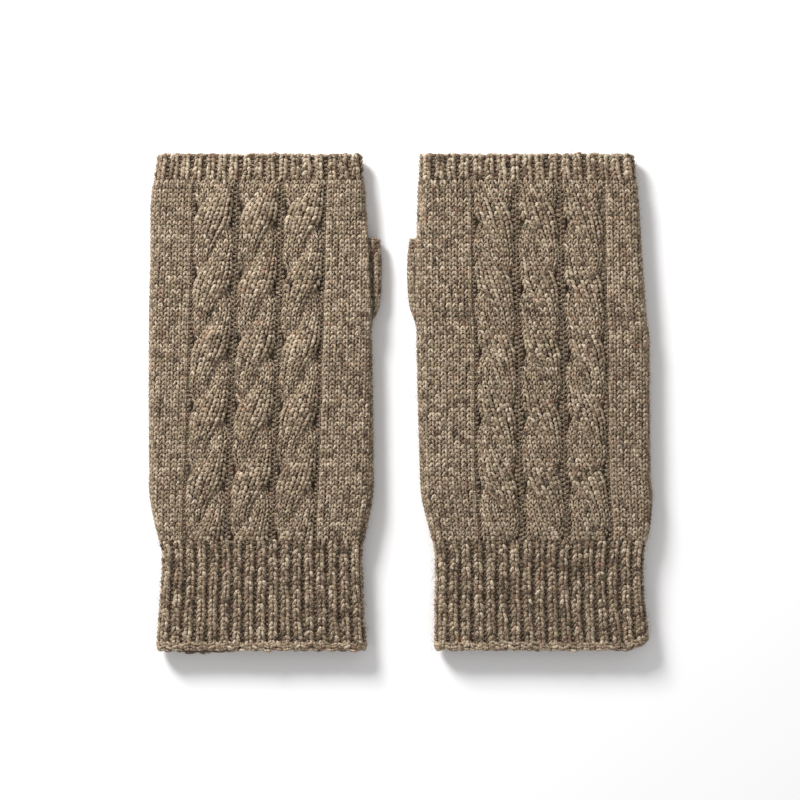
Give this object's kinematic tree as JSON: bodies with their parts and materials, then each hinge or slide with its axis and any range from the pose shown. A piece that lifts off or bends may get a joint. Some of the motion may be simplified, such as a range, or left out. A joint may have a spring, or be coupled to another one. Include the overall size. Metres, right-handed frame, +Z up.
{
  "type": "fingerless gloves",
  "caption": "Pair of long knitted fingerless gloves with cabled backs, ribbed wrists, short ribbed finger openings and short thumb tubes, lying flat with the palms down.",
  "frame": {"origin": "middle of the pair's outline, on the surface that the palms rest on", "axes": "+X across the pair from the left hand's glove to the right hand's, +Y from the wrists to the finger openings, +Z up from the palms to the cabled backs"},
  "size_m": [0.215, 0.2134, 0.0107],
  "materials": {
    "wool": "heathered taupe wool yarn in plain stocking stitch and cables, matt and softly fuzzy",
    "rib_wool": "the same yarn in one by one rib, darker in the furrows between the ribs",
    "seam_yarn": "the same yarn as a tight linking chain"
  },
  "bodies": {
    "left_hand": {"left_back_panel": "wool", "left_palm_panel": "wool", "left_side_seam": "seam_yarn", "left_finger_rib": "rib_wool", "left_thumb_gusset": "wool"},
    "left_cuff": {"left_wrist_rib": "rib_wool", "left_wrist_seam": "seam_yarn"},
    "left_thumb": {"left_thumb_tube": "wool", "left_thumb_rib": "rib_wool"},
    "right_hand": {"right_back_panel": "wool", "right_palm_panel": "wool", "right_side_seam": "seam_yarn", "right_finger_rib": "rib_wool", "right_thumb_gusset": "wool"},
    "right_cuff": {"right_wrist_rib": "rib_wool", "right_wrist_seam": "seam_yarn"},
    "right_thumb": {"right_thumb_tube": "wool", "right_thumb_rib": "rib_wool"}
  },
  "joints": [
    {"name": "right_glove_slide", "type": "slide", "parent": "left_hand", "child": "right_hand", "axis": [1, 0, 0], "range_m": [0, 0.1]},
    {"name": "left_wrist_fold", "type": "hinge", "parent": "left_hand", "child": "left_cuff", "pos_m": [-0.0589, -0.0593, 0.0097], "axis": [-1, 0, 0], "range_deg": [0, 90]},
    {"name": "left_thumb_swing", "type": "hinge", "parent": "left_hand", "child": "left_thumb", "pos_m": [-0.0082, 0.04125, 0.0035], "axis": [0, 0, -1], "range_deg": [0, 20]},
    {"name": "right_wrist_fold", "type": "hinge", "parent": "right_hand", "child": "right_cuff", "pos_m": [0.059, -0.0593, 0.0097], "axis": [-1, 0, 0], "range_deg": [0, 90]},
    {"name": "right_thumb_swing", "type": "hinge", "parent": "right_hand", "child": "right_thumb", "pos_m": [0.0041, 0.04125, 0.0035], "axis": [0, 0, 1], "range_deg": [0, 20]}
  ]
}
